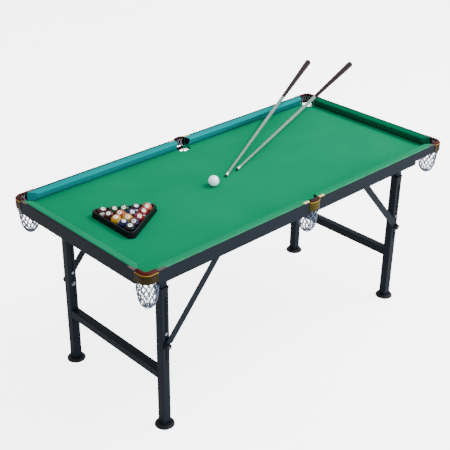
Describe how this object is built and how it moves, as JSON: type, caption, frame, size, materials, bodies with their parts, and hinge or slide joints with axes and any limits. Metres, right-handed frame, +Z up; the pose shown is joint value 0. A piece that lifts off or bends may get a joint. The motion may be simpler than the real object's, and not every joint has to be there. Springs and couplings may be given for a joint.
{
  "type": "mini pool table",
  "caption": "Small folding pool table with braced height-adjustable legs, net pockets, a triangle rack with balls, a cue ball and cues lying over the rail.",
  "frame": {"origin": "on the floor, midway between the four feet, under the centre of the table", "axes": "+X along the length of the table, towards the end the cues point over; +Y across it, away from the side with the rack apex; +Z up"},
  "size_m": [1.7481, 0.879, 0.6958],
  "materials": {
    "board": "matt raw board",
    "cloth": "short green cloth",
    "apron": "satin black paper on board",
    "liner": "grained maroon leather",
    "net": "white knotted cord",
    "plate": "polished",
    "leg_metal": "satin black powder coat",
    "brace_metal": "satin black powder coat",
    "bolt_steel": "zinc",
    "black_plastic": "matt black",
    "foot_rubber": "matt black",
    "cue_ball": "polished ivory white",
    "object_ball": "polished, colours by number",
    "rack_plastic": "satin black",
    "cue_shaft": "clear lacquer",
    "cue_butt": "dark maroon lacquer"
  },
  "bodies": {
    "table_top": {"apron_back": "apron", "apron_front": "apron", "apron_left": "apron", "apron_right": "apron", "bed_board": "board", "bed_cloth": "cloth", "brace_brackets": "brace_metal", "cushion_back_left": "cloth", "cushion_back_right": "cloth", "cushion_front_left": "cloth", "cushion_front_right": "cloth", "cushion_left_end": "cloth", "cushion_right_end": "cloth", "leg_brackets": "brace_metal", "liner_back_left": "liner", "liner_back_middle": "liner", "liner_back_right": "liner", "liner_front_left": "liner", "liner_front_middle": "liner", "liner_front_right": "liner", "net_back_left": "net", "net_back_middle": "net", "net_back_right": "net", "net_front_left": "net", "net_front_middle": "net", "net_front_right": "net", "pocket_plates": "plate"},
    "left_legs": {"upper_tubes_left": "leg_metal", "hinge_rod_left": "bolt_steel", "leg_bolts_left": "bolt_steel"},
    "left_frame": {"lower_tubes_left": "leg_metal", "crossbar_left": "leg_metal", "tube_fittings_left": "black_plastic"},
    "right_legs": {"upper_tubes_right": "leg_metal", "hinge_rod_right": "bolt_steel", "leg_bolts_right": "bolt_steel"},
    "right_frame": {"lower_tubes_right": "leg_metal", "crossbar_right": "leg_metal", "tube_fittings_right": "black_plastic"},
    "brace_arm_back_left": {"brace_back_left": "brace_metal"},
    "clamp_knob_back_left": {"knob_back_left": "black_plastic"},
    "levelling_foot_back_left": {"foot_back_left": "foot_rubber"},
    "brace_arm_back_right": {"brace_back_right": "brace_metal"},
    "clamp_knob_back_right": {"knob_back_right": "black_plastic"},
    "levelling_foot_back_right": {"foot_back_right": "foot_rubber"},
    "brace_arm_front_left": {"brace_front_left": "brace_metal"},
    "clamp_knob_front_left": {"knob_front_left": "black_plastic"},
    "levelling_foot_front_left": {"foot_front_left": "foot_rubber"},
    "brace_arm_front_right": {"brace_front_right": "brace_metal"},
    "clamp_knob_front_right": {"knob_front_right": "black_plastic"},
    "levelling_foot_front_right": {"foot_front_right": "foot_rubber"},
    "white_ball": {"cue_ball": "cue_ball"},
    "racked_balls": {"object_balls": "object_ball"},
    "triangle_rack": {"ball_rack": "rack_plastic"},
    "cue_over_long_rail": {"cue_over_long_rail_shaft": "cue_shaft", "cue_over_long_rail_butt": "cue_butt"},
    "cue_over_end_rail": {"cue_over_end_rail_shaft": "cue_shaft", "cue_over_end_rail_butt": "cue_butt"}
  },
  "joints": [
    {"name": "left_legs_fold", "type": "hinge", "parent": "table_top", "child": "left_legs", "pos_m": [-0.566, 0, 0.556], "axis": [0, -1, 0], "range_deg": [0, 90]},
    {"name": "left_height", "type": "slide", "parent": "left_legs", "child": "left_frame", "axis": [0, 0, 1], "range_m": [-0.12, 0.015]},
    {"name": "right_legs_fold", "type": "hinge", "parent": "table_top", "child": "right_legs", "pos_m": [0.566, 0, 0.556], "axis": [0, 1, 0], "range_deg": [0, 90]},
    {"name": "right_height", "type": "slide", "parent": "right_legs", "child": "right_frame", "axis": [0, 0, 1], "range_m": [-0.12, 0.015]},
    {"name": "brace_swing_back_left", "type": "hinge", "parent": "table_top", "child": "brace_arm_back_left", "pos_m": [-0.352, 0.261, 0.56], "axis": [0, 1, 0], "range_deg": [0, 39]},
    {"name": "brace_swing_back_right", "type": "hinge", "parent": "table_top", "child": "brace_arm_back_right", "pos_m": [0.352, 0.261, 0.56], "axis": [0, -1, 0], "range_deg": [0, 39]},
    {"name": "brace_swing_front_left", "type": "hinge", "parent": "table_top", "child": "brace_arm_front_left", "pos_m": [-0.352, -0.261, 0.56], "axis": [0, 1, 0], "range_deg": [0, 39]},
    {"name": "brace_swing_front_right", "type": "hinge", "parent": "table_top", "child": "brace_arm_front_right", "pos_m": [0.352, -0.261, 0.56], "axis": [0, -1, 0], "range_deg": [0, 39]},
    {"name": "knob_turn_back_left", "type": "hinge", "parent": "left_legs", "child": "clamp_knob_back_left", "pos_m": [-0.566, 0.27, 0.315], "axis": [0, 1, 0], "continuous": true},
    {"name": "knob_turn_back_right", "type": "hinge", "parent": "right_legs", "child": "clamp_knob_back_right", "pos_m": [0.566, 0.27, 0.315], "axis": [0, 1, 0], "continuous": true},
    {"name": "knob_turn_front_left", "type": "hinge", "parent": "left_legs", "child": "clamp_knob_front_left", "pos_m": [-0.566, -0.27, 0.315], "axis": [0, -1, 0], "continuous": true},
    {"name": "knob_turn_front_right", "type": "hinge", "parent": "right_legs", "child": "clamp_knob_front_right", "pos_m": [0.566, -0.27, 0.315], "axis": [0, -1, 0], "continuous": true},
    {"name": "foot_turn_back_left", "type": "hinge", "parent": "left_frame", "child": "levelling_foot_back_left", "pos_m": [-0.566, 0.241, 0], "axis": [0, 0, 1], "continuous": true},
    {"name": "foot_turn_back_right", "type": "hinge", "parent": "right_frame", "child": "levelling_foot_back_right", "pos_m": [0.566, 0.241, 0], "axis": [0, 0, 1], "continuous": true},
    {"name": "foot_turn_front_left", "type": "hinge", "parent": "left_frame", "child": "levelling_foot_front_left", "pos_m": [-0.566, -0.241, 0], "axis": [0, 0, 1], "continuous": true},
    {"name": "foot_turn_front_right", "type": "hinge", "parent": "right_frame", "child": "levelling_foot_front_right", "pos_m": [0.566, -0.241, 0], "axis": [0, 0, 1], "continuous": true},
    {"name": "white_ball_lift", "type": "slide", "parent": "table_top", "child": "white_ball", "axis": [0, 0, 1], "range_m": [0, 0.15]},
    {"name": "racked_balls_lift", "type": "slide", "parent": "table_top", "child": "racked_balls", "axis": [0, 0, 1], "range_m": [0, 0.15]},
    {"name": "triangle_rack_lift", "type": "slide", "parent": "table_top", "child": "triangle_rack", "axis": [0, 0, 1], "range_m": [0, 0.15]},
    {"name": "cue_over_long_rail_lift", "type": "slide", "parent": "table_top", "child": "cue_over_long_rail", "axis": [0, 0, 1], "range_m": [0, 0.15]},
    {"name": "cue_over_end_rail_lift", "type": "slide", "parent": "table_top", "child": "cue_over_end_rail", "axis": [0, 0, 1], "range_m": [0, 0.15]}
  ]
}
